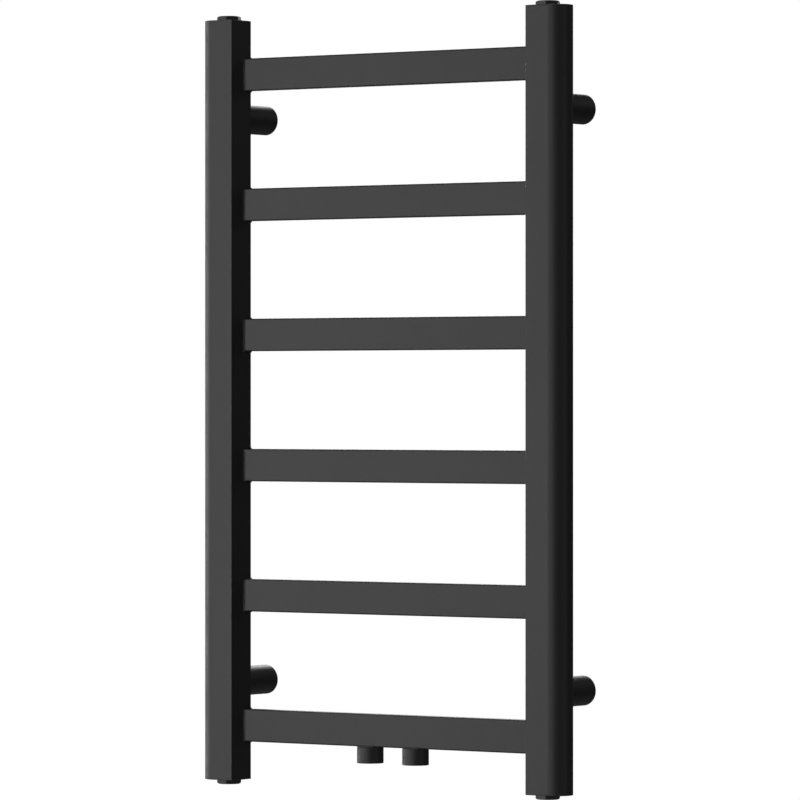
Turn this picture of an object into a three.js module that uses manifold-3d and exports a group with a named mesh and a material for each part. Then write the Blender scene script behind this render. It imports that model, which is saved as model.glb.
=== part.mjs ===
// A wall-hung ladder towel radiator: two D-section uprights, six flat rungs, a pair of centre connections
// under the bottom rung, hex plugs in the tube ends, and four stand-off brackets.
// Millimetres, +Z up. The origin is in the wall plane, midway between the brackets. The front faces -Y.

import * as THREE from "three";
import { mergeVertices } from "three/addons/utils/BufferGeometryUtils.js";
import Module from "manifold-3d";

const wasm = await Module();
wasm.setup();

// Whole radiator
const OVERALL_WIDTH = 400;
const OVERALL_HEIGHT = 700; // over the end caps, without the plugs
const STAND_OFF = 73; // from the wall to the front of the uprights
const TUBE_WALL = 1.5;
const GAP = 0.3; // clearance round every piece that sits inside another
const SMALL_EDGE = 0.4; // chamfer on turned ends
const THROUGH_WALL = 4 * TUBE_WALL; // length of a cutter that passes through one wall

// Uprights: flat inside, front and back, half-round outside
const UPRIGHT_WIDTH = 38;
const UPRIGHT_DEPTH = 30;
const UPRIGHT_INNER_X = OVERALL_WIDTH / 2 - UPRIGHT_WIDTH;
const UPRIGHT_AXIS_Y = UPRIGHT_DEPTH / 2 - STAND_OFF;

// Rungs, flush with the back of the uprights
const RUNG_COUNT = 6;
const RUNG_PITCH = 120;
const RUNG_HEIGHT = 30;
const RUNG_DEPTH = 10;
const RUNG_CORNER = 1.5;
const RUNG_INNER_CORNER = 0.5;
const RUNG_AXIS_Y = UPRIGHT_DEPTH - RUNG_DEPTH / 2 - STAND_OFF;
const PORT_HEIGHT = 22;
const PORT_DEPTH = 5;
const PORT_CORNER = 2.4;
const BAFFLE_THICKNESS = 1.5;

// Centre connections
const CONNECTION_SPACING = 50;
const CONNECTION_RADIUS = 12.1;
const CONNECTION_HEIGHT = 15;
const CONNECTION_AXIS_Y = 27 - STAND_OFF;
const SOCKET_RADIUS = 9.9; // mean radius of a half-inch pipe thread
const SOCKET_DEPTH = 12;
const SOCKET_CHAMFER = 0.8;
const WATERWAY_RADIUS = 3;

// Tube ends: a welded cap with a threaded collar, closed by a hex plug with a seal ring under its head
const CAP_THICKNESS = 3;
const COLLAR_RADIUS = 12.2;
const COLLAR_DEPTH = 15;
const PLUG_AXIS_X = 176;
const PLUG_ACROSS_FLATS = 20;
const PLUG_TURN = THREE.MathUtils.degToRad(-6.5);
const PLUG_HEAD_HEIGHT = 4;
const PLUG_HEAD_CHAMFER = 1.1; // its height at the corners of the hexagon
const PLUG_TOP_RADIUS = 9.5;
const PLUG_THREAD_RADIUS = 8;
const PLUG_THREAD_CHAMFER = 0.8;
const PLUG_LENGTH = 12;
const PLUG_NECK_RADIUS = 7.1;
const SEAL_SEAT_RADIUS = 9.4;
const SEAL_SEAT_DEPTH = 2.2;
const SEAL_RADIUS = 0.8;

// Air vent: a slotted screw on a seat, in the middle of one plug
const VENT_SCREW_RADIUS = 3;
const VENT_SCREW_RECESS = 0.6; // its top lies below the plug's top
const VENT_SCREW_LENGTH = 8.8;
const VENT_BORE_DEPTH = 10;
const VENT_PASSAGE_RADIUS = 1.5;
const VENT_TIP_RADIUS = 0.8;
const VENT_CONE_LENGTH = 2.2;
const VENT_SLOT_WIDTH = 1.2;
const VENT_SLOT_DEPTH = 1.5;

// Stand-off brackets
const BRACKET_X = 176;
const BRACKET_Z = 260;
const SLEEVE_RADIUS = 13.5;
const SLEEVE_LENGTH = STAND_OFF - UPRIGHT_DEPTH - GAP;
const SLEEVE_BASE = 4;
const SLEEVE_EDGE = 0.5;
const WALL_SCREW_RADIUS = 2.75;
const PIN_RADIUS = 8;
const PIN_LENGTH = 32;
const PIN_EDGE = 1;
const PIN_THREAD_RADIUS = 3.7;
const PIN_THREAD_LENGTH = 10;
const PIN_KEY = 6; // across the flats of its hex socket
const PIN_KEY_DEPTH = 5;
const WELD_BUSH_RADIUS = 6.5;
const WELD_BUSH_LENGTH = 14;
const WELD_BUSH_SPARE = 1; // bore left below the end of the pin
const GRUB_RADIUS = 3;
const GRUB_FROM_WALL = 29;
const GRUB_LENGTH = 4.6;
const GRUB_TIP_CHAMFER = 1;
const GRUB_KEY = 3;
const GRUB_KEY_DEPTH = 2.5;

const SIDES = { left: -1, right: 1 };
const ENDS = { bottom: -1, top: 1 };

// Sides of a circle, and of the half circle of an upright
const LARGE_CIRCLE = 28;
const SMALL_CIRCLE = 18;
const UPRIGHT_ARC = 16;
const PORT_ARC = 2;
const RUNG_ARC = 3;

const SAME_POINT = 1e-4;

const COATED = { color: 0x2b2b2b, roughness: 0.5, metalness: 0 };
const PLUG_BLACK = { color: 0x262626, roughness: 0.45, metalness: 0 };
const RUBBER = { color: 0x141414, roughness: 0.85, metalness: 0 };
const ZINC = { color: 0xb4b6b8, roughness: 0.4, metalness: 1 };
const BLACK_STEEL = { color: 0x1c1c1e, roughness: 0.4, metalness: 0.8 };
const BRASS = { color: 0xb58d3d, roughness: 0.35, metalness: 1 };
const BARE_STEEL = { color: 0x77777a, roughness: 0.55, metalness: 1 };

function solidOf(geometry) {
  const bare = new THREE.BufferGeometry();
  bare.setAttribute("position", geometry.getAttribute("position"));
  bare.setIndex(geometry.index);
  const merged = mergeVertices(bare, SAME_POINT);
  const mesh = new wasm.Mesh({
    numProp: 3,
    vertProperties: merged.getAttribute("position").array,
    triVerts: new Uint32Array(merged.index.array),
  });
  return new wasm.Manifold(mesh);
}

function geometryOf(solid) {
  const { vertProperties, triVerts } = solid.getMesh();
  const geometry = new THREE.BufferGeometry();
  geometry.setAttribute("position", new THREE.BufferAttribute(vertProperties, 3));
  geometry.setIndex(new THREE.BufferAttribute(triVerts, 1));
  geometry.computeVertexNormals();
  return geometry;
}

function cut(body, tools) {
  return geometryOf(tools.reduce((rest, tool) => rest.subtract(solidOf(tool)), solidOf(body)));
}

function joined(body, other) {
  return geometryOf(solidOf(body).add(solidOf(other)));
}

function common(body, other) {
  return geometryOf(solidOf(body).intersect(solidOf(other)));
}

// A shape extruded along Z, centred on its length.
function prism(shape, length, curveSegments) {
  const settings = { depth: length, bevelEnabled: false, curveSegments };
  return new THREE.ExtrudeGeometry(shape, settings).translate(0, 0, -length / 2);
}

// A profile of [radius, height] points, turned about Z. It runs from the lowest point outwards and up.
function turned(profile, segments) {
  const points = profile.map(([radius, height]) => new THREE.Vector2(radius, height));
  return new THREE.LatheGeometry(points, segments).rotateX(Math.PI / 2);
}

function rodAlongZ(radius, length, segments = SMALL_CIRCLE) {
  return new THREE.CylinderGeometry(radius, radius, length, segments).rotateX(Math.PI / 2);
}

function rodAlongY(radius, length, segments = SMALL_CIRCLE) {
  return new THREE.CylinderGeometry(radius, radius, length, segments);
}

function roundedRectangle(width, height, corner) {
  const x = width / 2 - corner;
  const y = height / 2 - corner;
  const shape = new THREE.Shape();
  shape.absarc(x, y, corner, 0, Math.PI / 2);
  shape.absarc(-x, y, corner, Math.PI / 2, Math.PI);
  shape.absarc(-x, -y, corner, Math.PI, 1.5 * Math.PI);
  shape.absarc(x, -y, corner, 1.5 * Math.PI, 2 * Math.PI);
  return shape;
}

// The D outline of a right-hand upright, drawn in from its outside by an inset.
// X starts at the flat inner face.
function uprightOutline(inset) {
  const halfDepth = UPRIGHT_DEPTH / 2 - inset;
  const outline = new THREE.Shape();
  outline.absarc(UPRIGHT_WIDTH - UPRIGHT_DEPTH / 2, 0, halfDepth, -Math.PI / 2, Math.PI / 2);
  outline.lineTo(inset, halfDepth);
  outline.lineTo(inset, -halfDepth);
  outline.closePath();
  return outline;
}

function rungHeights() {
  const bottom = (-(RUNG_COUNT - 1) * RUNG_PITCH) / 2;
  return Array.from({ length: RUNG_COUNT }, (_, i) => bottom + i * RUNG_PITCH);
}

// A right-hand upright with a port for each rung and a hole for each bracket's bush.
function uprightTube() {
  const section = uprightOutline(0);
  section.holes.push(uprightOutline(TUBE_WALL));
  const tube = prism(section, OVERALL_HEIGHT - 2 * CAP_THICKNESS, UPRIGHT_ARC);
  const port = roundedRectangle(PORT_HEIGHT, PORT_DEPTH, PORT_CORNER);
  const ports = rungHeights().map((z) =>
    prism(port, THROUGH_WALL, PORT_ARC)
      .rotateY(Math.PI / 2)
      .translate(0, RUNG_AXIS_Y - UPRIGHT_AXIS_Y, z),
  );
  const bushHoles = Object.values(ENDS).map((end) =>
    rodAlongY(WELD_BUSH_RADIUS + GAP, THROUGH_WALL).translate(
      BRACKET_X - UPRIGHT_INNER_X,
      UPRIGHT_DEPTH / 2,
      end * BRACKET_Z,
    ),
  );
  return cut(tube, [...ports, ...bushHoles]);
}

function rungTube(hasConnections) {
  const section = roundedRectangle(RUNG_HEIGHT, RUNG_DEPTH, RUNG_CORNER);
  const insideHeight = RUNG_HEIGHT - 2 * TUBE_WALL;
  const insideDepth = RUNG_DEPTH - 2 * TUBE_WALL;
  section.holes.push(roundedRectangle(insideHeight, insideDepth, RUNG_INNER_CORNER));
  const tube = prism(section, 2 * UPRIGHT_INNER_X, RUNG_ARC).rotateY(Math.PI / 2);
  const waterways = Object.values(SIDES).map((side) =>
    rodAlongZ(WATERWAY_RADIUS, THROUGH_WALL).translate(
      (side * CONNECTION_SPACING) / 2,
      0,
      -RUNG_HEIGHT / 2,
    ),
  );
  return hasConnections ? cut(tube, waterways) : tube;
}

// A threaded socket with a closed top, and a waterway from it into the rung above.
function connectionBoss() {
  const body = turned(
    [
      [0, SOCKET_DEPTH],
      [SOCKET_RADIUS, SOCKET_DEPTH],
      [SOCKET_RADIUS, SOCKET_CHAMFER],
      [SOCKET_RADIUS + SOCKET_CHAMFER, 0],
      [CONNECTION_RADIUS - SMALL_EDGE, 0],
      [CONNECTION_RADIUS, SMALL_EDGE],
      [CONNECTION_RADIUS, CONNECTION_HEIGHT],
      [0, CONNECTION_HEIGHT],
    ],
    LARGE_CIRCLE,
  );
  const waterway = rodAlongZ(WATERWAY_RADIUS, CONNECTION_HEIGHT).translate(
    0,
    RUNG_AXIS_Y - CONNECTION_AXIS_Y,
    CONNECTION_HEIGHT,
  );
  return cut(body, [waterway]);
}

// It parts the flow side of the bottom rung from the return side.
function flowBaffle() {
  const room = 2 * (TUBE_WALL + GAP);
  return new THREE.BoxGeometry(BAFFLE_THICKNESS, RUNG_DEPTH - room, RUNG_HEIGHT - room);
}

// A right-hand cap, with its top at height 0 and the plug's axis at X 0.
function endCap() {
  const plate = prism(uprightOutline(0), CAP_THICKNESS, UPRIGHT_ARC).translate(
    UPRIGHT_INNER_X - PLUG_AXIS_X,
    0,
    -CAP_THICKNESS / 2,
  );
  const collarLength = COLLAR_DEPTH - CAP_THICKNESS / 2;
  const collar = rodAlongZ(COLLAR_RADIUS, collarLength, LARGE_CIRCLE).translate(
    0,
    0,
    -COLLAR_DEPTH + collarLength / 2,
  );
  const bore = rodAlongZ(PLUG_THREAD_RADIUS + GAP, 3 * COLLAR_DEPTH, LARGE_CIRCLE);
  const sealSeat = rodAlongZ(SEAL_SEAT_RADIUS, 2 * SEAL_SEAT_DEPTH, LARGE_CIRCLE);
  return cut(joined(plate, collar), [bore, sealSeat]);
}

// A hex head with a chamfered top, a neck for the seal ring, and a threaded shank.
function hexPlug() {
  const corner = PLUG_ACROSS_FLATS / Math.sqrt(3);
  const beyondCorner = 2 * corner;
  const slope = PLUG_HEAD_CHAMFER / (corner - PLUG_TOP_RADIUS);
  const hexHead = new THREE.CylinderGeometry(corner, corner, PLUG_HEAD_HEIGHT, 6)
    .rotateY(Math.PI / 2 + PLUG_TURN)
    .rotateX(Math.PI / 2)
    .translate(0, 0, PLUG_HEAD_HEIGHT / 2);
  const chamfer = turned(
    [
      [0, -beyondCorner],
      [beyondCorner, -beyondCorner],
      [beyondCorner, PLUG_HEAD_HEIGHT - slope * (beyondCorner - PLUG_TOP_RADIUS)],
      [PLUG_TOP_RADIUS, PLUG_HEAD_HEIGHT],
      [0, PLUG_HEAD_HEIGHT],
    ],
    LARGE_CIRCLE,
  );
  const shank = turned(
    [
      [0, -PLUG_LENGTH],
      [PLUG_THREAD_RADIUS - PLUG_THREAD_CHAMFER, -PLUG_LENGTH],
      [PLUG_THREAD_RADIUS, -PLUG_LENGTH + PLUG_THREAD_CHAMFER],
      [PLUG_THREAD_RADIUS, -SEAL_SEAT_DEPTH],
      [PLUG_NECK_RADIUS, -SEAL_SEAT_DEPTH],
      [PLUG_NECK_RADIUS, PLUG_HEAD_HEIGHT / 2],
      [0, PLUG_HEAD_HEIGHT / 2],
    ],
    LARGE_CIRCLE,
  );
  return joined(common(hexHead, chamfer), shank);
}

function ventPlug() {
  const top = PLUG_HEAD_HEIGHT;
  const screwBore = rodAlongZ(VENT_SCREW_RADIUS + GAP, 2 * VENT_BORE_DEPTH).translate(0, 0, top);
  const passage = rodAlongZ(VENT_PASSAGE_RADIUS, 4 * PLUG_LENGTH);
  return cut(hexPlug(), [screwBore, passage]);
}

function sealRing() {
  const radius = (PLUG_NECK_RADIUS + SEAL_SEAT_RADIUS) / 2;
  return new THREE.TorusGeometry(radius, SEAL_RADIUS, 6, SMALL_CIRCLE).translate(0, 0, -SEAL_SEAT_DEPTH / 2);
}

// A slotted screw with a conical tip, its top at height 0.
function bleedScrew() {
  const body = turned(
    [
      [0, -VENT_SCREW_LENGTH],
      [VENT_TIP_RADIUS, -VENT_SCREW_LENGTH],
      [VENT_SCREW_RADIUS, -VENT_SCREW_LENGTH + VENT_CONE_LENGTH],
      [VENT_SCREW_RADIUS, -SMALL_EDGE],
      [VENT_SCREW_RADIUS - SMALL_EDGE, 0],
      [0, 0],
    ],
    SMALL_CIRCLE,
  );
  const slot = new THREE.BoxGeometry(3 * VENT_SCREW_RADIUS, VENT_SLOT_WIDTH, 2 * VENT_SLOT_DEPTH);
  return cut(body, [slot]);
}

// The turned bracket pieces stand on Z here, with the wall at height 0, the radiator below it and +Y down.
function bracketSleeve() {
  const bore = PIN_RADIUS + GAP;
  const sleeve = turned(
    [
      [bore, -SLEEVE_LENGTH],
      [SLEEVE_RADIUS - SLEEVE_EDGE, -SLEEVE_LENGTH],
      [SLEEVE_RADIUS, -SLEEVE_LENGTH + SLEEVE_EDGE],
      [SLEEVE_RADIUS, -SLEEVE_EDGE],
      [SLEEVE_RADIUS - SLEEVE_EDGE, 0],
      [WALL_SCREW_RADIUS, 0],
      [WALL_SCREW_RADIUS, -SLEEVE_BASE],
      [bore, -SLEEVE_BASE],
      [bore, -SLEEVE_LENGTH],
    ],
    LARGE_CIRCLE,
  );
  const grubHole = rodAlongY(GRUB_RADIUS + GAP, SLEEVE_RADIUS).translate(
    0,
    SLEEVE_RADIUS,
    -GRUB_FROM_WALL,
  );
  return cut(sleeve, [grubHole]);
}

// A cutter for a hex key, centred on the face that it is let into.
function hexSocket(acrossFlats, depth) {
  return rodAlongZ(acrossFlats / Math.sqrt(3), 2 * depth, 6);
}

function standoffPin() {
  const shoulder = UPRIGHT_DEPTH - STAND_OFF;
  const wallEnd = shoulder + PIN_LENGTH;
  const pin = turned(
    [
      [0, shoulder - PIN_THREAD_LENGTH],
      [PIN_THREAD_RADIUS - SMALL_EDGE, shoulder - PIN_THREAD_LENGTH],
      [PIN_THREAD_RADIUS, shoulder - PIN_THREAD_LENGTH + SMALL_EDGE],
      [PIN_THREAD_RADIUS, shoulder],
      [PIN_RADIUS, shoulder],
      [PIN_RADIUS, wallEnd - PIN_EDGE],
      [PIN_RADIUS - PIN_EDGE, wallEnd],
      [0, wallEnd],
    ],
    LARGE_CIRCLE,
  );
  return cut(pin, [hexSocket(PIN_KEY, PIN_KEY_DEPTH).translate(0, 0, wallEnd)]);
}

// A blind threaded bush let into the back of the upright, its closed end inside the tube.
function weldBush() {
  const mouth = UPRIGHT_DEPTH - STAND_OFF;
  const bore = PIN_THREAD_RADIUS + GAP;
  return turned(
    [
      [0, mouth - WELD_BUSH_LENGTH],
      [WELD_BUSH_RADIUS, mouth - WELD_BUSH_LENGTH],
      [WELD_BUSH_RADIUS, mouth],
      [bore, mouth],
      [bore, mouth - PIN_THREAD_LENGTH - WELD_BUSH_SPARE],
      [0, mouth - PIN_THREAD_LENGTH - WELD_BUSH_SPARE],
    ],
    SMALL_CIRCLE,
  );
}

// Its tip is at height 0 and its hex socket faces up.
function grubScrew() {
  const body = turned(
    [
      [0, 0],
      [GRUB_RADIUS - GRUB_TIP_CHAMFER, 0],
      [GRUB_RADIUS, GRUB_TIP_CHAMFER],
      [GRUB_RADIUS, GRUB_LENGTH - SMALL_EDGE],
      [GRUB_RADIUS - SMALL_EDGE, GRUB_LENGTH],
      [0, GRUB_LENGTH],
    ],
    SMALL_CIRCLE,
  );
  return cut(body, [hexSocket(GRUB_KEY, GRUB_KEY_DEPTH).translate(0, 0, GRUB_LENGTH)]);
}

function part(name, geometry, finish) {
  const mesh = new THREE.Mesh(geometry, new THREE.MeshStandardMaterial(finish));
  mesh.name = name;
  return mesh;
}

function mirroredInX(object, side) {
  object.scale.x = side;
  return object;
}

function at(object, x, y, z) {
  object.position.set(x, y, z);
  return object;
}

function uprights() {
  return Object.entries(SIDES).map(([sideName, side]) => {
    const upright = mirroredInX(part(`${sideName}_upright`, uprightTube(), COATED), side);
    return at(upright, side * UPRIGHT_INNER_X, UPRIGHT_AXIS_Y, 0);
  });
}

function rungs() {
  return rungHeights().map((z, i) =>
    at(part(`rung_${i + 1}`, rungTube(i === 0), COATED), 0, RUNG_AXIS_Y, z),
  );
}

function centreConnections() {
  const rungUnderside = rungHeights()[0] - RUNG_HEIGHT / 2;
  const bosses = Object.entries(SIDES).map(([sideName, side]) =>
    at(
      part(`${sideName}_connection_boss`, connectionBoss(), COATED),
      (side * CONNECTION_SPACING) / 2,
      CONNECTION_AXIS_Y,
      rungUnderside - CONNECTION_HEIGHT,
    ),
  );
  const baffle = at(part("flow_baffle", flowBaffle(), BARE_STEEL), 0, RUNG_AXIS_Y, rungHeights()[0]);
  return [...bosses, baffle];
}

// The cap, plug and seal of one tube end. A bottom end is the top end mirrored in height.
function tubeEnd(endName, sideName) {
  const group = new THREE.Group();
  const prefix = `${endName}_${sideName}`;
  const vented = prefix === "top_right";
  const end = ENDS[endName];
  const side = SIDES[sideName];
  group.add(mirroredInX(part(`${prefix}_end_cap`, endCap(), COATED), side));
  group.add(part(`${prefix}_plug_seal`, sealRing(), RUBBER));
  if (vented) {
    const screwTop = PLUG_HEAD_HEIGHT - VENT_SCREW_RECESS;
    group.add(part(`${prefix}_vent_plug`, ventPlug(), PLUG_BLACK));
    group.add(at(part("bleed_screw", bleedScrew(), BRASS), 0, 0, screwTop));
  } else {
    group.add(part(`${prefix}_blanking_plug`, hexPlug(), PLUG_BLACK));
  }
  group.scale.z = end;
  return at(group, side * PLUG_AXIS_X, UPRIGHT_AXIS_Y, (end * OVERALL_HEIGHT) / 2);
}

function bracket(endName, sideName) {
  const group = new THREE.Group();
  const prefix = `${endName}_${sideName}`;
  const alongWall = new THREE.Group();
  alongWall.rotation.x = -Math.PI / 2;
  alongWall.add(part(`${prefix}_bracket_sleeve`, bracketSleeve(), COATED));
  alongWall.add(part(`${prefix}_standoff_pin`, standoffPin(), ZINC));
  alongWall.add(part(`${prefix}_weld_bush`, weldBush(), BARE_STEEL));
  const grub = part(`${prefix}_grub_screw`, grubScrew(), BLACK_STEEL);
  grub.rotation.x = Math.PI;
  group.add(alongWall);
  group.add(at(grub, 0, -GRUB_FROM_WALL, -PIN_RADIUS - GAP));
  return at(group, SIDES[sideName] * BRACKET_X, 0, ENDS[endName] * BRACKET_Z);
}

function forEachCorner(make) {
  return Object.keys(ENDS).flatMap((endName) =>
    Object.keys(SIDES).map((sideName) => make(endName, sideName)),
  );
}

const towelRadiator = new THREE.Group();
towelRadiator.add(...uprights(), ...rungs(), ...centreConnections());
towelRadiator.add(...forEachCorner(tubeEnd));
towelRadiator.add(...forEachCorner(bracket));

export default towelRadiator;
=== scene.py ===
import math

import bmesh
import bpy
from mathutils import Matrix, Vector


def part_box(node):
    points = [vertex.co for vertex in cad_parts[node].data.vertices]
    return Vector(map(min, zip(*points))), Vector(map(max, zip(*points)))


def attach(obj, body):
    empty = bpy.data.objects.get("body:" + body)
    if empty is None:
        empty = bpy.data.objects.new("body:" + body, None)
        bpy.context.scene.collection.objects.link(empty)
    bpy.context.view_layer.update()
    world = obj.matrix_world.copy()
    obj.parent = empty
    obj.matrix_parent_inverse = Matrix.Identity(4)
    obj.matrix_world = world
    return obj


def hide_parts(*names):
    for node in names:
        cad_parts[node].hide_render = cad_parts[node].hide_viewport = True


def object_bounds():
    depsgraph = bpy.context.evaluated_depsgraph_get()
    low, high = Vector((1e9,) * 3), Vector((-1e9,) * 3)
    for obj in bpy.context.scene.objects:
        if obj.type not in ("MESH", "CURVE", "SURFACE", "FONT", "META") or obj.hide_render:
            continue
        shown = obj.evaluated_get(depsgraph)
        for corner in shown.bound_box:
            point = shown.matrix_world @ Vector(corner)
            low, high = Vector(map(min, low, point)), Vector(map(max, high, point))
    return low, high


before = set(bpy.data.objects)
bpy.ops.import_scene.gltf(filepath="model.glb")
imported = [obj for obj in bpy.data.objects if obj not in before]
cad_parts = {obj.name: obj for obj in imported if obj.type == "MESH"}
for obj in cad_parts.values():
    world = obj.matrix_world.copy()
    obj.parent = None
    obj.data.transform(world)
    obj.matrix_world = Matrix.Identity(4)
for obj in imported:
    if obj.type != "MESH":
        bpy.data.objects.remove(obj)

cad_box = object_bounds()

# Camera: level with the middle of the radiator, 35 degrees round to its right, with a long lens.
camera_data = bpy.data.cameras.new("camera")
camera_data.sensor_width = 36
camera_data.lens = 248.9
camera_data.clip_end = 60
camera = bpy.data.objects.new("camera", camera_data)
bpy.context.scene.collection.objects.link(camera)
camera_azimuth = math.radians(34.9)
camera_distance = 5.0237
camera_target = Vector((0, -0.0347, 0))
camera_offset = Vector((math.sin(camera_azimuth), -math.cos(camera_azimuth), 0))
camera.location = camera_target + camera_distance * camera_offset
camera.rotation_euler = (math.pi / 2, 0, camera_azimuth)
bpy.context.scene.camera = camera

# Studio: a pale floor well below the radiator, since it hangs on a wall, and soft boxes all round it. The
# world is white behind the radiator, and dim where the black coat mirrors it.
FLOOR_SIZE = 60
FLOOR_DROP = 0.6
bpy.context.scene.view_settings.view_transform = "Standard"
bpy.ops.object.select_all(action="DESELECT")
bpy.ops.mesh.primitive_plane_add(size=FLOOR_SIZE, location=(0, 0, cad_box[0].z - FLOOR_DROP))
floor = bpy.context.object
floor.name = "floor"

floor_material = bpy.data.materials.new("pale floor")
floor_material.use_nodes = True
floor_tree = floor_material.node_tree
floor_paint = floor_tree.nodes["Principled BSDF"]
floor_paint.inputs["Base Color"].default_value = (0.25, 0.25, 0.25, 1)
floor_paint.inputs["Roughness"].default_value = 0.9
# The floor is lit from within where it is seen, and fades to white far off. So it is pale, but sends little
# light up at the radiator.
floor_glow = floor_tree.nodes.new("ShaderNodeEmission")
floor_place = floor_tree.nodes.new("ShaderNodeTexCoord")
floor_reach = floor_tree.nodes.new("ShaderNodeVectorMath")
floor_reach.operation = "LENGTH"
floor_fade = floor_tree.nodes.new("ShaderNodeMapRange")
floor_fade.interpolation_type = "SMOOTHSTEP"
floor_fade.inputs["From Min"].default_value = 0.5
floor_fade.inputs["From Max"].default_value = 6
floor_fade.inputs["To Min"].default_value = 0.7
floor_tree.links.new(floor_place.outputs["Object"], floor_reach.inputs[0])
floor_tree.links.new(floor_reach.outputs["Value"], floor_fade.inputs["Value"])
floor_tree.links.new(floor_fade.outputs["Result"], floor_glow.inputs["Strength"])
floor_ray = floor_tree.nodes.new("ShaderNodeLightPath")
floor_mix = floor_tree.nodes.new("ShaderNodeMixShader")
floor_tree.links.new(floor_ray.outputs["Is Camera Ray"], floor_mix.inputs["Fac"])
floor_tree.links.new(floor_paint.outputs["BSDF"], floor_mix.inputs[1])
floor_tree.links.new(floor_glow.outputs["Emission"], floor_mix.inputs[2])
# The floor can't be seen from underneath, so it never hides the radiator.
floor_clear = floor_tree.nodes.new("ShaderNodeBsdfTransparent")
floor_side = floor_tree.nodes.new("ShaderNodeNewGeometry")
floor_top = floor_tree.nodes.new("ShaderNodeMixShader")
floor_tree.links.new(floor_side.outputs["Backfacing"], floor_top.inputs["Fac"])
floor_tree.links.new(floor_mix.outputs["Shader"], floor_top.inputs[1])
floor_tree.links.new(floor_clear.outputs["BSDF"], floor_top.inputs[2])
floor_tree.links.new(floor_top.outputs["Shader"], floor_tree.nodes["Material Output"].inputs["Surface"])
floor.data.materials.append(floor_material)

world = bpy.data.worlds.new("studio")
world.use_nodes = True
bpy.context.scene.world = world
world_tree = world.node_tree
room_light = world_tree.nodes["Background"]
room_light.inputs["Color"].default_value = (1, 1, 1, 1)
room_light.inputs["Strength"].default_value = 0.05
backdrop = world_tree.nodes.new("ShaderNodeBackground")
backdrop.inputs["Color"].default_value = (1, 1, 1, 1)
ray = world_tree.nodes.new("ShaderNodeLightPath")
world_mix = world_tree.nodes.new("ShaderNodeMixShader")
world_tree.links.new(ray.outputs["Is Camera Ray"], world_mix.inputs["Fac"])
world_tree.links.new(room_light.outputs["Background"], world_mix.inputs[1])
world_tree.links.new(backdrop.outputs["Background"], world_mix.inputs[2])
world_tree.links.new(world_mix.outputs["Shader"], world_tree.nodes["World Output"].inputs["Surface"])


def add_soft_box(name, place, width, height, power, casts_shadow=True):
    """A rectangular studio light that is turned to the middle of the radiator."""
    lamp = bpy.data.lights.new(name, "AREA")
    lamp.shape = "RECTANGLE"
    lamp.size = width
    lamp.size_y = height
    lamp.energy = power
    lamp.use_shadow = casts_shadow
    lamp.cycles.use_multiple_importance_sampling = casts_shadow
    box = bpy.data.objects.new(name, lamp)
    box.location = place
    box.rotation_euler = (-box.location).to_track_quat("-Z", "Y").to_euler()
    box.visible_camera = False
    bpy.context.scene.collection.objects.link(box)


# The fill boxes stand in an arc from the right, past the front, to the left. Like one great soft box, they
# throw no shadow.
FILL_DISTANCE = 3
FILL_HEIGHT = 2.4
for name, turn, width, power in (
    ("right fill", -90, 1.6, 2.6),
    ("front fill", 0, 1.6, 10.8),
    ("key fill", 35, 1.2, 17.6),
    ("left fill", 75, 1.6, 19.2),
    ("side fill", 95, 1.6, 10.6),
):
    angle = math.radians(turn)
    place = (-FILL_DISTANCE * math.sin(angle), -FILL_DISTANCE * math.cos(angle), 0)
    add_soft_box(name, place, width, FILL_HEIGHT, power, casts_shadow=False)
add_soft_box("low rim box", (-0.9, 1.3, 0.6), 0.7, 1.0, 6.6)
add_soft_box("high rim box", (-1.3, 1.3, 1.2), 1.2, 1.0, 4.5)
add_soft_box("back corner box", (1.49, 2.13, 1.5), 1.6, 1.6, 1)
add_soft_box("back box", (-0.95, 2.85, 0.65), 0.8, 1.0, 3.5)
add_soft_box("top box", (0, -0.1, 2.5), 1.6, 1.6, 5)

# Uprights: two half-round steel tubes, flat on three sides, with a port for each rung and a hole at the
# back for each bracket's bush. Powder coated with the frame after welding, in matt black with a fine
# orange peel.
TINY = 1e-5
MERGE_DISTANCE = 1e-6
UPRIGHT_WALL = 0.0015
UPRIGHT_EDGE = 0.0004
PORT = Vector((0.006, 0.005, 0.022))
PORT_CORNER = 0.0024
BUSH_PLAY = 0.0003
ROUND_STEPS = 24


def add_block(name, low, high):
    """A box between two corners, with its place in its mesh."""
    bpy.ops.object.select_all(action="DESELECT")
    bpy.ops.mesh.primitive_cube_add(size=1, location=(low + high) / 2, scale=high - low)
    block = bpy.context.object
    block.name = name
    bpy.ops.object.transform_apply()
    return block


def add_rod(name, centre, radius, length, direction="Z", sides=64):
    """A cylinder on one of the three axes, with its place in its mesh."""
    turns = {"X": (0, math.pi / 2, 0), "Y": (math.pi / 2, 0, 0), "Z": (0, 0, 0)}
    bpy.ops.object.select_all(action="DESELECT")
    bpy.ops.mesh.primitive_cylinder_add(
        vertices=sides, radius=radius, depth=length, location=centre, rotation=turns[direction]
    )
    rod = bpy.context.object
    rod.name = name
    bpy.ops.object.transform_apply()
    return rod


def select_edges(piece, test):
    """Enters edit mode with the edges selected whose two ends pass the test."""
    bpy.context.view_layer.objects.active = piece
    bpy.ops.object.mode_set(mode="EDIT")
    bpy.ops.mesh.select_mode(type="EDGE")
    bpy.ops.mesh.select_all(action="DESELECT")
    mesh = bmesh.from_edit_mesh(piece.data)
    for edge in mesh.edges:
        edge.select_set(test(edge.verts[0].co, edge.verts[1].co))
    bmesh.update_edit_mesh(piece.data)


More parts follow.
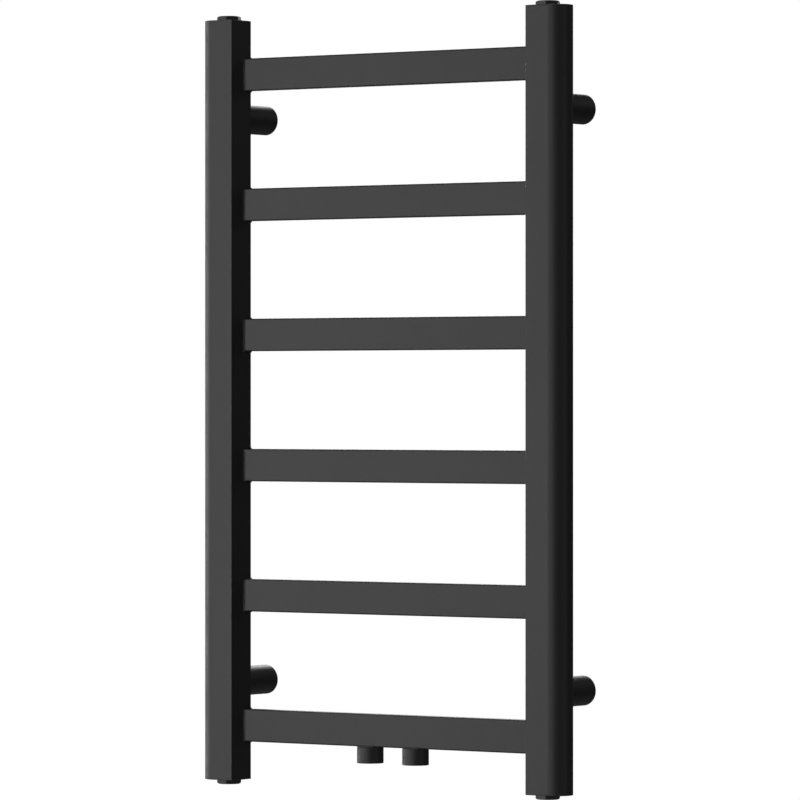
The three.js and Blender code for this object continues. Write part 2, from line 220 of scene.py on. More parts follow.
def select_faces(piece, test):
    """Enters edit mode with the faces selected whose centre and normal pass the test."""
    bpy.context.view_layer.objects.active = piece
    bpy.ops.object.mode_set(mode="EDIT")
    bpy.ops.mesh.select_mode(type="FACE")
    bpy.ops.mesh.select_all(action="DESELECT")
    mesh = bmesh.from_edit_mesh(piece.data)
    for face in mesh.faces:
        face.select_set(test(face.calc_center_median(), face.normal))
    bmesh.update_edit_mesh(piece.data)


def apply_modifier(piece, kind, **settings):
    bpy.ops.object.select_all(action="DESELECT")
    piece.select_set(True)
    bpy.context.view_layer.objects.active = piece
    modifier = piece.modifiers.new(kind.lower(), kind)
    for setting, value in settings.items():
        setattr(modifier, setting, value)
    bpy.ops.object.modifier_apply(modifier=modifier.name)


def combine(piece, others, operation):
    """Cuts the other pieces from this one, or joins them to it, and removes them."""
    for other in others:
        apply_modifier(piece, "BOOLEAN", operation=operation, object=other, solver="EXACT")
        bpy.data.objects.remove(other)
    bpy.ops.object.mode_set(mode="EDIT")
    bpy.ops.mesh.select_all(action="SELECT")
    bpy.ops.mesh.remove_doubles(threshold=MERGE_DISTANCE)
    bpy.ops.mesh.dissolve_degenerate(threshold=MERGE_DISTANCE)
    bpy.ops.mesh.delete_loose()
    bpy.ops.mesh.select_all(action="SELECT")
    bpy.ops.mesh.fill_holes(sides=8)
    bpy.ops.object.mode_set(mode="OBJECT")


def shape_as_half_round(block, outer_x, edge):
    """Rounds a block's two upright edges at outer_x into one half circle, and eases the other two."""
    radius = block.dimensions.y / 2
    for at_x, offset, steps in ((outer_x, radius, ROUND_STEPS), (None, edge, 4)):

        def upright_there(a, b):
            if abs(a.x - b.x) > TINY or abs(a.y - b.y) > TINY:
                return False
            if at_x is not None:
                return abs(a.x - at_x) < TINY
            return abs(a.x - outer_x) > block.dimensions.x - TINY

        select_edges(block, upright_there)
        bpy.ops.mesh.bevel(offset=offset, segments=steps, profile=0.5, affect="EDGES", clamp_overlap=False)
        bpy.ops.mesh.select_all(action="SELECT")
        bpy.ops.mesh.remove_doubles(threshold=TINY)
        bpy.ops.object.mode_set(mode="OBJECT")


def smooth_over(piece, angle=32):
    """Smooth shading that keeps flat faces flat and edges above the angle sharp."""
    bpy.ops.object.select_all(action="DESELECT")
    piece.select_set(True)
    bpy.context.view_layer.objects.active = piece
    bpy.ops.object.shade_smooth_by_angle(angle=math.radians(angle))
    apply_modifier(piece, "WEIGHTED_NORMAL", keep_sharp=True)


def make_coat_group():
    """The grain, orange peel and settled dust of a powder coat, for any colour."""
    group = bpy.data.node_groups.new("powder coat surface", "ShaderNodeTree")
    face = group.interface
    face.new_socket(name="Colour", in_out="INPUT", socket_type="NodeSocketColor")
    face.new_socket(name="Roughness", in_out="INPUT", socket_type="NodeSocketFloat")
    face.new_socket(name="Dust", in_out="INPUT", socket_type="NodeSocketFloat")
    face.new_socket(name="Colour", in_out="OUTPUT", socket_type="NodeSocketColor")
    face.new_socket(name="Roughness", in_out="OUTPUT", socket_type="NodeSocketFloat")
    face.new_socket(name="Height", in_out="OUTPUT", socket_type="NodeSocketFloat")
    nodes, links = group.nodes, group.links
    given = nodes.new("NodeGroupInput")
    made = nodes.new("NodeGroupOutput")
    place = nodes.new("ShaderNodeTexCoord")

    def noise(scale, detail):
        node = nodes.new("ShaderNodeTexNoise")
        node.inputs["Scale"].default_value = scale
        node.inputs["Detail"].default_value = detail
        links.new(place.outputs["Object"], node.inputs["Vector"])
        return node.outputs["Fac"]

    def ranged(value, to_low, to_high, low=0.3, high=0.7):
        node = nodes.new("ShaderNodeMapRange")
        node.inputs["From Min"].default_value = low
        node.inputs["From Max"].default_value = high
        node.inputs["To Min"].default_value = to_low
        node.inputs["To Max"].default_value = to_high
        links.new(value, node.inputs["Value"])
        return node.outputs["Result"]

    def combined(operation, a, b):
        node = nodes.new("ShaderNodeMath")
        node.operation = operation
        for socket, value in zip(node.inputs, (a, b)):
            if isinstance(value, (int, float)):
                socket.default_value = value
            else:
                links.new(value, socket)
        return node.outputs[0]

    clouding = noise(scale=9, detail=3)
    grain = noise(scale=4200, detail=2)
    peel = noise(scale=950, detail=2)
    specks = noise(scale=160, detail=5)

    tone = nodes.new("ShaderNodeHueSaturation")
    links.new(given.outputs["Colour"], tone.inputs["Color"])
    cloud_tone = ranged(clouding, 0.95, 1.05)
    grain_tone = ranged(grain, 0.93, 1.07)
    links.new(combined("MULTIPLY", cloud_tone, grain_tone), tone.inputs["Value"])

    normal = nodes.new("ShaderNodeNewGeometry")
    parts = nodes.new("ShaderNodeSeparateXYZ")
    links.new(normal.outputs["Normal"], parts.inputs["Vector"])
    upward = ranged(parts.outputs["Z"], 0, 1, low=0.8, high=1)
    settled = combined("MULTIPLY", upward, ranged(specks, 0.2, 1, low=0.45, high=0.75))
    dust_mix = nodes.new("ShaderNodeMix")
    dust_mix.data_type = "RGBA"
    dust_mix.inputs[7].default_value = (0.23, 0.22, 0.21, 1)
    links.new(combined("MULTIPLY", settled, given.outputs["Dust"]), dust_mix.inputs[0])
    links.new(tone.outputs["Color"], dust_mix.inputs[6])
    links.new(dust_mix.outputs[2], made.inputs["Colour"])

    shift = combined("ADD", ranged(peel, -0.03, 0.03), ranged(clouding, -0.02, 0.02))
    links.new(combined("ADD", given.outputs["Roughness"], shift), made.inputs["Roughness"])
    height = combined("ADD", combined("MULTIPLY", peel, 0.75), combined("MULTIPLY", grain, 0.25))
    links.new(height, made.inputs["Height"])
    return group


coat_group = make_coat_group()


def coat_material(name, colour, roughness, dust):
    material = bpy.data.materials.new(name)
    material.use_nodes = True
    nodes, links = material.node_tree.nodes, material.node_tree.links
    paint = nodes["Principled BSDF"]
    surface = nodes.new("ShaderNodeGroup")
    surface.node_tree = coat_group
    surface.inputs["Colour"].default_value = (*colour, 1)
    surface.inputs["Roughness"].default_value = roughness
    surface.inputs["Dust"].default_value = dust
    bump = nodes.new("ShaderNodeBump")
    bump.inputs["Strength"].default_value = 0.6
    bump.inputs["Distance"].default_value = 0.00004
    links.new(surface.outputs["Height"], bump.inputs["Height"])
    links.new(surface.outputs["Colour"], paint.inputs["Base Color"])
    links.new(surface.outputs["Roughness"], paint.inputs["Roughness"])
    links.new(bump.outputs["Normal"], paint.inputs["Normal"])
    return material


coat = coat_material("matt black powder coat", (0.045, 0.045, 0.045), roughness=0.42, dust=0.12)

rung_nodes = [f"rung_{i}" for i in range(1, 7)]

for side in ("left", "right"):
    low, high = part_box(f"{side}_upright")
    outer_x = low.x if side == "left" else high.x
    inner_x = high.x if side == "left" else low.x
    upright = add_block(f"{side}_upright_tube", low, high)
    shape_as_half_round(upright, outer_x, UPRIGHT_EDGE)
    select_faces(upright, lambda centre, normal: abs(normal.z) > 0.9)
    bpy.ops.mesh.delete(type="FACE")
    bpy.ops.object.mode_set(mode="OBJECT")
    apply_modifier(upright, "SOLIDIFY", thickness=UPRIGHT_WALL, offset=-1, use_even_offset=True)
    cutters = []
    for node in rung_nodes:
        rung_low, rung_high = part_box(node)
        centre = (rung_low + rung_high) / 2
        centre.x = inner_x
        port = add_block("port", centre - PORT / 2, centre + PORT / 2)
        select_edges(port, lambda a, b: abs(a.x - b.x) > TINY)
        bpy.ops.mesh.bevel(offset=PORT_CORNER, segments=6, profile=0.5, affect="EDGES")
        bpy.ops.object.mode_set(mode="OBJECT")
        cutters.append(port)
    for end in ("bottom", "top"):
        bush_low, bush_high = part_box(f"{end}_{side}_weld_bush")
        centre = (bush_low + bush_high) / 2
        centre.y = high.y
        hole_radius = (bush_high.x - bush_low.x) / 2 + BUSH_PLAY
        cutters.append(add_rod("bush hole", centre, hole_radius, 4 * UPRIGHT_WALL, direction="Y"))
    combine(upright, cutters, "DIFFERENCE")
    smooth_over(upright)
    upright.data.materials.append(coat)
    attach(upright, "radiator")
    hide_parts(f"{side}_upright")

# Rungs: flat rectangular steel tube, butt welded between the uprights and flush with their backs. The welds
# are dressed to a small hollow before coating, a little wider at the front than above and below.
RUNG_WALL = 0.0015
RUNG_CORNER = 0.0015
WATERWAY = 0.003
WELD_ALONG = 0.0013
WELD_FRONT = 0.0011
WELD_ABOVE = 0.0006
WELD_STEPS = 6


def copy_for(finished, name, from_node, to_node):
    """A copy of a piece with its own mesh, as far from it as one solid is from another."""
    bpy.ops.object.select_all(action="DESELECT")
    finished.select_set(True)
    bpy.context.view_layer.objects.active = finished
    bpy.ops.object.duplicate()
    copy = bpy.context.object
    copy.name = name
    copy.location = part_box(to_node)[0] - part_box(from_node)[0]
    bpy.ops.object.transform_apply()
    return copy


low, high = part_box("rung_1")
inset = Vector((WELD_ALONG, 0, 0))
tube = add_block("rung_tube", low + inset, high - inset)
select_edges(tube, lambda a, b: abs(a.x - b.x) > TINY)
bpy.ops.mesh.bevel(offset=RUNG_CORNER, segments=5, profile=0.5, affect="EDGES")
depth, height = high.y - low.y, high.z - low.z
for sign in (-1, 1):
    select_faces(tube, lambda centre, normal: normal.x * sign > 0.9)
    x, grown_y, grown_z = sign * (high.x - WELD_ALONG), depth, height
    for step in range(1, WELD_STEPS + 1):
        angle = math.pi / 2 * step / WELD_STEPS
        next_x = sign * (high.x - WELD_ALONG * (1 - math.sin(angle)))
        next_y = depth + WELD_FRONT * (1 - math.cos(angle))
        next_z = height + 2 * WELD_ABOVE * (1 - math.cos(angle))
        bpy.ops.mesh.extrude_region_move(TRANSFORM_OT_translate={"value": (next_x - x, 0, 0)})
        bpy.ops.transform.resize(
            value=(1, next_y / grown_y, next_z / grown_z),
            center_override=(next_x, high.y, (low.z + high.z) / 2),
        )
        x, grown_y, grown_z = next_x, next_y, next_z
    bpy.ops.object.mode_set(mode="OBJECT")
wall = Vector((-RUNG_WALL, RUNG_WALL, RUNG_WALL))
bore = add_block("bore", low + wall, high - wall)
select_edges(bore, lambda a, b: abs(a.x - b.x) > TINY)
bpy.ops.mesh.bevel(offset=RUNG_CORNER / 3, segments=3, profile=0.5, affect="EDGES")
bpy.ops.object.mode_set(mode="OBJECT")
combine(tube, [bore], "DIFFERENCE")

for node in rung_nodes:
    rung = copy_for(tube, f"{node}_tube", "rung_1", node)
    if node == "rung_1":
        waterways = []
        for side in ("left", "right"):
            boss_low, boss_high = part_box(f"{side}_connection_boss")
            hole_at = Vector(((boss_low.x + boss_high.x) / 2, (low.y + high.y) / 2, low.z))
            waterways.append(add_rod("waterway", hole_at, WATERWAY, 4 * RUNG_WALL, sides=32))
        combine(rung, waterways, "DIFFERENCE")
    smooth_over(rung)
    rung.data.materials.append(coat)
    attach(rung, "radiator")
    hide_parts(node)
bpy.data.objects.remove(tube)

# Weld beads: at the back each rung is joined to the uprights by a flat, rippled bead over the butt joint.
# The beads lie under the coat.
BEAD_WIDTH = 0.0036
BEAD_PROUD = 0.0005
BEAD_RIPPLE = 0.0011
BEAD_SIDES = 20
BEAD_TAPER = (0.45, 0.85, 1)
BEAD_HOLLOW = 0.93
BEAD_SMOOTH_ANGLE = 60


def face_outwards(piece):
    bpy.ops.object.select_all(action="DESELECT")
    bpy.context.view_layer.objects.active = piece
    bpy.ops.object.mode_set(mode="EDIT")
    bpy.ops.mesh.select_all(action="SELECT")
    bpy.ops.mesh.remove_doubles(threshold=MERGE_DISTANCE)
    bpy.ops.mesh.normals_make_consistent(inside=False)
    bpy.ops.object.mode_set(mode="OBJECT")


def join_into(piece, others):
    bpy.ops.object.select_all(action="DESELECT")
    for other in others:
        other.select_set(True)
    piece.select_set(True)
    bpy.context.view_layer.objects.active = piece
    bpy.ops.object.join()


def add_weld_bead(name, start, end, width, proud, facing):
    """A flattened rod with ripples and tapered ends, which stands proud of a surface on its facing side."""
    along = end - start
    direction = along.normalized()
    across = along.cross(facing).normalized()
    steps = max(4, round(along.length / BEAD_RIPPLE))
    step = along / steps
    flatness = 2 * proud / width
    squash = Vector(abs(a) + flatness * abs(f) + abs(d) for a, f, d in zip(across, facing, direction))
    bpy.ops.object.select_all(action="DESELECT")
    bpy.ops.mesh.primitive_circle_add(
        vertices=BEAD_SIDES,
        radius=width / 2,
        fill_type="NGON",
        location=start,
        rotation=along.to_track_quat("Z", "Y").to_euler(),
    )
    bead = bpy.context.object
    bead.name = name
    bpy.ops.object.transform_apply()
    bpy.ops.object.mode_set(mode="EDIT")
    bpy.ops.mesh.select_all(action="SELECT")
    bpy.ops.transform.resize(value=squash, center_override=start)
    size = BEAD_TAPER[0]
    bpy.ops.transform.resize(value=(size, size, size), center_override=start)
    for i in range(1, steps + 1):
        at = start + i * step
        from_end = min(i, steps - i, len(BEAD_TAPER) - 1)
        next_size = (1, BEAD_HOLLOW)[i % 2] * BEAD_TAPER[from_end]
        bpy.ops.mesh.extrude_region_move(TRANSFORM_OT_translate={"value": step})
        bpy.ops.transform.resize(value=(next_size / size,) * 3, center_override=at)
        size = next_size
    bpy.ops.object.mode_set(mode="OBJECT")
    face_outwards(bead)
    return bead


def join_beads(beads):
    """One smooth, coated piece of a few beads."""
    join_into(beads[0], beads[1:])
    smooth_over(beads[0], BEAD_SMOOTH_ANGLE)
    beads[0].data.materials.append(coat)
    return beads[0]


low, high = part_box("rung_1")
beads = []
for x in (low.x, high.x):
    bottom = Vector((x, high.y, low.z + RUNG_CORNER))
    top = Vector((x, high.y, high.z - RUNG_CORNER))
    beads.append(add_weld_bead("rung_end_bead", bottom, top, BEAD_WIDTH, BEAD_PROUD, Vector((0, 1, 0))))
rung_beads = join_beads(beads)

for node in rung_nodes:
    weld = copy_for(rung_beads, f"{node}_back_weld", "rung_1", node)
    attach(weld, "radiator")
bpy.data.objects.remove(rung_beads)

# Centre connections: two turned steel sockets with a half-inch parallel pipe thread, 50 mm apart. Each is
# tacked under the bottom rung in front and behind, and a small waterway joins it to the rung.
SOCKET_MINOR = 0.00932
SOCKET_MAJOR = 0.01048
SOCKET_PITCH = 0.001814
SOCKET_DEPTH = 0.012
SOCKET_LEAD_IN = 0.0014
SOCKET_MOUTH_EDGE = 0.0005
SOCKET_TOP_EDGE = 0.0003
SOCKET_BEAD_WIDTH = 0.0017
SOCKET_BEAD_PROUD = 0.00085
SOCKET_BEAD_LOW = 0.0004
SOCKET_BEAD_SHORT = 0.0012
SOCKET_TAP_BELOW = 0.0006
THREAD_PLAY = 0.0001
THREAD_RUN_OUT = 2
THREAD_STEPS = 32
CREST_START = 0.42
CREST_END = 0.58
up = Vector((0, 0, 1))
rung_low, rung_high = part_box("rung_1")
rung_y = (rung_low.y + rung_high.y) / 2


def draw_outline(name, points):
    """An open line through the points, drawn by extruding one vertex."""
    bpy.ops.object.select_all(action="DESELECT")
    bpy.ops.mesh.primitive_plane_add(size=1)
    outline = bpy.context.object
    outline.name = name
    bpy.ops.object.mode_set(mode="EDIT")
    bpy.ops.mesh.select_mode(type="VERT")
    bpy.ops.mesh.select_all(action="SELECT")
    bpy.ops.mesh.merge(type="CENTER")
    bpy.ops.mesh.select_all(action="SELECT")
    bpy.ops.transform.translate(value=points[0])
    for start, end in zip(points, points[1:]):
        bpy.ops.mesh.extrude_vertices_move(TRANSFORM_OT_translate={"value": end - start})
    bpy.ops.object.mode_set(mode="OBJECT")
    return outline


def turn_outline(name, foot, axis, outline, steps=64):
    """Spins an outline of (radius, height) points, which ends on the axis or closes on itself."""
    points = [foot + axis * height + Vector((radius, 0, 0)) for radius, height in outline]
    piece = draw_outline(name, points)
    bpy.ops.object.mode_set(mode="EDIT")
    bpy.ops.mesh.select_all(action="SELECT")
    bpy.ops.mesh.spin(steps=steps, angle=2 * math.pi, center=foot, axis=axis)
    bpy.ops.object.mode_set(mode="OBJECT")
    face_outwards(piece)
    return piece


def cut_thread(name, minor, major, pitch, length):
    """A threaded rod on the origin: one tooth driven up a screw, then cut level at both ends."""
    tooth = [(minor, 0), (major, CREST_START * pitch), (major, CREST_END * pitch), (minor, pitch)]
    below = THREAD_RUN_OUT * pitch
    piece = draw_outline(name, [Vector((radius, 0, height - below)) for radius, height in tooth])
    apply_modifier(
        piece,
        "SCREW",
        axis="Z",
        screw_offset=pitch,
        iterations=math.ceil(length / pitch) + THREAD_RUN_OUT + 1,
        steps=THREAD_STEPS,
        render_steps=THREAD_STEPS,
    )
    bpy.ops.object.mode_set(mode="EDIT")
    bpy.ops.mesh.select_all(action="SELECT")
    bpy.ops.mesh.remove_doubles(threshold=MERGE_DISTANCE)
    for height, cleared in ((0, "clear_inner"), (length, "clear_outer")):
        bpy.ops.mesh.select_all(action="SELECT")
        bpy.ops.mesh.bisect(plane_co=(0, 0, height), plane_no=(0, 0, 1), use_fill=True, **{cleared: True})
    bpy.ops.object.mode_set(mode="OBJECT")
    face_outwards(piece)
    return piece


def place_upright(piece, foot, axis):
    """Moves a piece that stands on the origin to a foot point, turned to an axis."""
    bpy.ops.object.select_all(action="DESELECT")
    piece.select_set(True)
    bpy.context.view_layer.objects.active = piece
    piece.rotation_euler = axis.to_track_quat("Z", "Y").to_euler()
    piece.location = foot
    bpy.ops.object.transform_apply()


low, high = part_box("left_connection_boss")
radius = (high.x - low.x) / 2
height = high.z - low.z
foot = Vector(((low.x + high.x) / 2, (low.y + high.y) / 2, low.z))
turned_socket = turn_outline(
    "turned_socket",
    foot,
    up,
    [
        (0, SOCKET_DEPTH),
        (SOCKET_MINOR, SOCKET_DEPTH),
        (SOCKET_MINOR, SOCKET_LEAD_IN),
        (SOCKET_MAJOR + 3 * THREAD_PLAY, 0),
        (radius - SOCKET_MOUTH_EDGE, 0),
        (radius - 0.3 * SOCKET_MOUTH_EDGE, 0.3 * SOCKET_MOUTH_EDGE),
        (radius, SOCKET_MOUTH_EDGE),
        (radius, height - SOCKET_TOP_EDGE),
        (radius - SOCKET_TOP_EDGE, height),
        (0, height),
    ],
)
tap = cut_thread("tap", SOCKET_MINOR - THREAD_PLAY, SOCKET_MAJOR, SOCKET_PITCH, SOCKET_DEPTH)
place_upright(tap, foot - SOCKET_TAP_BELOW * up, up)
waterway = add_rod("waterway", Vector((foot.x, rung_y, high.z)), WATERWAY, height, sides=32)
combine(turned_socket, [tap, waterway], "DIFFERENCE")
smooth_over(turned_socket)
turned_socket.data.materials.append(coat)

beads = []
bead_z = high.z + SOCKET_BEAD_LOW
for y, facing in ((rung_low.y, -1), (rung_high.y, 1)):
    reach = math.sqrt(radius**2 - (y - foot.y) ** 2) - SOCKET_BEAD_SHORT
    start = Vector((foot.x - reach, y, bead_z))
    end = Vector((foot.x + reach, y, bead_z))
    out = Vector((0, facing, 0))
    beads.append(add_weld_bead("socket_bead", start, end, SOCKET_BEAD_WIDTH, SOCKET_BEAD_PROUD, out))
socket_beads = join_beads(beads)

for side in ("left", "right"):
    node = f"{side}_connection_boss"
    boss = copy_for(turned_socket, f"{side}_pipe_socket", "left_connection_boss", node)
    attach(boss, "radiator")
    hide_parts(f"{side}_connection_boss")

    weld = copy_for(socket_beads, f"{side}_pipe_socket_weld", "left_connection_boss", node)
    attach(weld, "radiator")
bpy.data.objects.remove(turned_socket)
bpy.data.objects.remove(socket_beads)

# Flow baffle: a bare steel plate inside the bottom rung, between the two connections. It parts flow from
# return, so that the water goes round through the uprights.
BAFFLE_CORNER = 0.001
FINE_EDGE = 0.0002
baffle = add_block("flow_baffle_plate", *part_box("flow_baffle"))
select_edges(baffle, lambda a, b: abs(a.x - b.x) > TINY)
bpy.ops.mesh.bevel(offset=BAFFLE_CORNER, segments=4, profile=0.5, affect="EDGES")
bpy.ops.object.mode_set(mode="OBJECT")
apply_modifier(baffle, "BEVEL", width=FINE_EDGE, segments=2, limit_method="ANGLE")
smooth_over(baffle)
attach(baffle, "radiator")
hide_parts("flow_baffle")


def make_metal_group():
    """Turning lines round an axis, with patches of duller metal, for any bare or plated steel or brass."""
    group = bpy.data.node_groups.new("machined metal surface", "ShaderNodeTree")
    face = group.interface
    face.new_socket(name="Colour", in_out="INPUT", socket_type="NodeSocketColor")
    face.new_socket(name="Tarnish", in_out="INPUT", socket_type="NodeSocketColor")
    face.new_socket(name="Roughness", in_out="INPUT", socket_type="NodeSocketFloat")
    face.new_socket(name="Axis", in_out="INPUT", socket_type="NodeSocketVector")
    face.new_socket(name="Colour", in_out="OUTPUT", socket_type="NodeSocketColor")
    face.new_socket(name="Roughness", in_out="OUTPUT", socket_type="NodeSocketFloat")
    face.new_socket(name="Height", in_out="OUTPUT", socket_type="NodeSocketFloat")
    nodes, links = group.nodes, group.links
    given = nodes.new("NodeGroupInput")
    made = nodes.new("NodeGroupOutput")
    place = nodes.new("ShaderNodeTexCoord")
    along = nodes.new("ShaderNodeVectorMath")
    along.operation = "DOT_PRODUCT"
    links.new(place.outputs["Object"], along.inputs[0])
    links.new(given.outputs["Axis"], along.inputs[1])
    lines = nodes.new("ShaderNodeTexNoise")
    lines.noise_dimensions = "1D"
    lines.inputs["Scale"].default_value = 9000
    lines.inputs["Detail"].default_value = 3
    links.new(along.outputs["Value"], lines.inputs["W"])
    patches = nodes.new("ShaderNodeTexNoise")
    patches.inputs["Scale"].default_value = 240
    patches.inputs["Detail"].default_value = 5
    links.new(place.outputs["Object"], patches.inputs["Vector"])
    dull = nodes.new("ShaderNodeMapRange")
    dull.inputs["From Min"].default_value = 0.48
    dull.inputs["From Max"].default_value = 0.72
    links.new(patches.outputs["Fac"], dull.inputs["Value"])
    tint = nodes.new("ShaderNodeMix")
    tint.data_type = "RGBA"
    links.new(dull.outputs["Result"], tint.inputs[0])
    links.new(given.outputs["Colour"], tint.inputs[6])
    links.new(given.outputs["Tarnish"], tint.inputs[7])
    links.new(tint.outputs[2], made.inputs["Colour"])
    roughened = nodes.new("ShaderNodeMath")
    roughened.operation = "MULTIPLY_ADD"
    roughened.inputs[1].default_value = 0.18
    links.new(dull.outputs["Result"], roughened.inputs[0])
    links.new(given.outputs["Roughness"], roughened.inputs[2])
    links.new(roughened.outputs[0], made.inputs["Roughness"])
    links.new(lines.outputs["Fac"], made.inputs["Height"])
    return group


metal_group = make_metal_group()


def metal_material(name, colour, tarnish, roughness, axis, depth=0.000006):
    material = bpy.data.materials.new(name)
    material.use_nodes = True
    nodes, links = material.node_tree.nodes, material.node_tree.links
    metal = nodes["Principled BSDF"]
    metal.inputs["Metallic"].default_value = 1
    surface = nodes.new("ShaderNodeGroup")
    surface.node_tree = metal_group
    surface.inputs["Colour"].default_value = (*colour, 1)
    surface.inputs["Tarnish"].default_value = (*tarnish, 1)
    surface.inputs["Roughness"].default_value = roughness
    surface.inputs["Axis"].default_value = axis
    bump = nodes.new("ShaderNodeBump")
    bump.inputs["Distance"].default_value = depth
    links.new(surface.outputs["Height"], bump.inputs["Height"])
    links.new(surface.outputs["Colour"], metal.inputs["Base Color"])
    links.new(surface.outputs["Roughness"], metal.inputs["Roughness"])
    links.new(bump.outputs["Normal"], metal.inputs["Normal"])
    return material


bare_steel = metal_material(
    "bare welded steel", (0.32, 0.31, 0.3), tarnish=(0.16, 0.12, 0.1), roughness=0.42, axis=(0, 1, 0)
)
baffle.data.materials.append(bare_steel)

# End caps: a half-round plate welded flush over each tube end, with a threaded collar on its inside for a
# plug and a shallow counterbore for the plug's seal. Left and right are handed. Coated with the frame.
CAP_THICKNESS = 0.003
CAP_EDGE = 0.0006
COLLAR_RADIUS = 0.0122
COLLAR_OVERLAP = 0.0005
PLUG_THREAD = 0.008
PLUG_THREAD_HEIGHT = 0.0006
PLUG_PITCH = 0.001337
SEAL_SEAT = 0.0094
SEAL_SEAT_DEPTH = 0.0022
TAP_SPARE = 0.004
corners = [(end, side) for end in ("bottom", "top") for side in ("left", "right")]

for end, side in corners:
    low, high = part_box(f"{end}_{side}_end_cap")
    outward = 1 if end == "top" else -1
    outer_z = high.z if end == "top" else low.z
    outer_x = low.x if side == "left" else high.x
    depth = high.z - low.z
    plug_low, plug_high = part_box(f"{end}_{side}_plug_seal")
    axis_at = (plug_low + plug_high) / 2
    plate_low, plate_high = low.copy(), high.copy()
    if end == "top":
        plate_low.z = outer_z - CAP_THICKNESS
    else:
        plate_high.z = outer_z + CAP_THICKNESS
    cap = add_block(f"{end}_{side}_tube_end_cap", plate_low, plate_high)
    shape_as_half_round(cap, outer_x, UPRIGHT_EDGE)
    select_edges(cap, lambda a, b: abs(a.z - outer_z) < TINY and abs(b.z - outer_z) < TINY)
    bpy.ops.mesh.bevel(offset=CAP_EDGE, segments=3, profile=0.5, affect="EDGES")
    bpy.ops.object.mode_set(mode="OBJECT")
    collar_length = depth - CAP_THICKNESS + COLLAR_OVERLAP
    collar_at = Vector((axis_at.x, axis_at.y, outer_z - outward * (depth - collar_length / 2)))
    combine(cap, [add_rod("collar", collar_at, COLLAR_RADIUS, collar_length)], "UNION")
    seat_at = Vector((axis_at.x, axis_at.y, outer_z))
    seat = add_rod("seat", seat_at, SEAL_SEAT, 2 * SEAL_SEAT_DEPTH)
    tap_minor = PLUG_THREAD + THREAD_PLAY
    tap_length = depth + TAP_SPARE
    tap = cut_thread("tap", tap_minor, tap_minor + PLUG_THREAD_HEIGHT, PLUG_PITCH, tap_length)
    place_upright(tap, Vector((axis_at.x, axis_at.y, (low.z + high.z - tap_length) / 2)), up)
    combine(cap, [seat, tap], "DIFFERENCE")
    smooth_over(cap)
    cap.data.materials.append(coat)
    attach(cap, "radiator")
    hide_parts(f"{end}_{side}_end_cap")

# Plugs: steel hex plugs, 20 mm across the flats, with a chamfered, dished head, a neck for the rubber seal
# and a parallel thread. They are coated apart from the frame, a little smoother. One top plug is drilled
# for the air vent.
PLUG_HEAD = 0.004
PLUG_CORNER = 0.02 / math.sqrt(3)
PLUG_TURN = math.radians(-6.5)
PLUG_TOP_RADIUS = 0.0095
PLUG_CHAMFER = 0.0011
PLUG_DISH = 0.0062
PLUG_DISH_FLOOR = 0.0058
PLUG_DISH_DEPTH = 0.0005
PLUG_EDGE_ANGLE = math.radians(25)
PLUG_LENGTH = 0.012
PLUG_POINT = 0.0008
PLUG_NECK = 0.0071
NECK_SPARE = 0.0008
CUTTER_SPARE = 0.001
VENT_SCREW = 0.003
VENT_PITCH = 0.001
VENT_PLAY = 0.0003
VENT_BORE_DEPTH = 0.01
AIR_PASSAGE = 0.0015
AIR_PASSAGE_LENGTH = 0.04
plug_coat = coat_material("satin black plug coat", (0.038, 0.038, 0.038), roughness=0.36, dust=0.1)


def turn_threaded(name, foot, axis, outline, minor, major, pitch, steps=48):
    """A threaded rod whose ends and chamfers are those of a turned outline."""
    heights = [height for radius, height in outline]
    length = max(heights) - min(heights) + 2 * pitch
    rod = cut_thread(name, minor, major, pitch, length)
    place_upright(rod, foot + axis * (min(heights) - pitch), axis)
    combine(rod, [turn_outline("shape", foot, axis, outline, steps)], "INTERSECT")
    return rod


